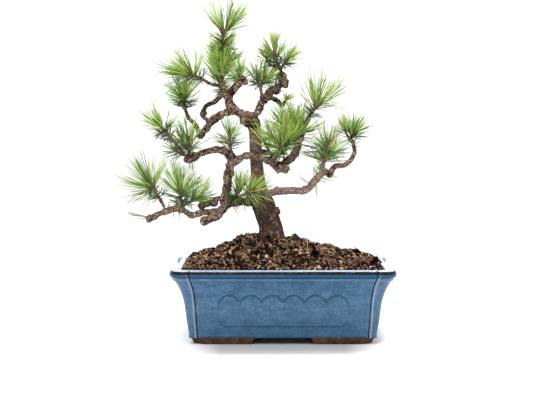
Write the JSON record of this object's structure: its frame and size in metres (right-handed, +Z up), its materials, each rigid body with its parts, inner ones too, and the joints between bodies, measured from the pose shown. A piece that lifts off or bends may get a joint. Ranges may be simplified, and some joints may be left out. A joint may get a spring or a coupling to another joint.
{
  "type": "potted pine bonsai",
  "caption": "Mugo pine bonsai with a leaning trunk, bent bare boughs and tufts of needles, in a rectangular glazed pot with lobed corners.",
  "frame": {"origin": "middle of the whole plan's bounding box, on the table plane under the pot's feet", "axes": "+Z up, +Y from the front seen in the picture towards the back, +X to the right seen from the front"},
  "size_m": [0.3414, 0.1958, 0.4221],
  "materials": {
    "glaze": "mottled steel-blue gloss glaze, brown at the edges, bare reddish-brown clay feet",
    "soil": "loose moist bark chips, fibre and compost",
    "bark": "rough scaly bark with pale leaf scars",
    "needles": "satin needles, yellow-green at the tips, with reddish-brown buds"
  },
  "bodies": {
    "root": {"pot": "glaze", "soil": "soil", "trunk": "bark", "bough_crown": "bark", "bough_crown_riser": "bark", "bough_left": "bark", "bough_left_rise": "bark", "bough_left_loop": "bark", "bough_front": "bark", "bough_front_arch": "bark", "bough_front_drop": "bark", "bough_low": "bark", "bough_low_curl": "bark", "bough_low_fork": "bark", "bough_low_reach": "bark", "bough_right": "bark", "bough_right_out": "bark", "bough_mid": "bark", "bough_top": "bark", "bough_top_hook": "bark", "bough_top_back": "bark", "bough_back": "bark", "bough_back_right": "bark", "foliage_apex": "needles", "foliage_crown_left": "needles", "foliage_crown_mid": "needles", "foliage_upper_left": "needles", "foliage_left": "needles", "foliage_far_left": "needles", "foliage_mid_left": "needles", "foliage_front": "needles", "foliage_low_far": "needles", "foliage_low_tip": "needles", "foliage_low_left": "needles", "foliage_low_front": "needles", "foliage_mid": "needles", "foliage_mid_back": "needles", "foliage_reach": "needles", "foliage_right_mid": "needles", "foliage_right": "needles", "foliage_top_left": "needles", "foliage_top": "needles", "foliage_top_back": "needles", "foliage_back": "needles", "foliage_back_right": "needles"}
  },
  "joints": []
}
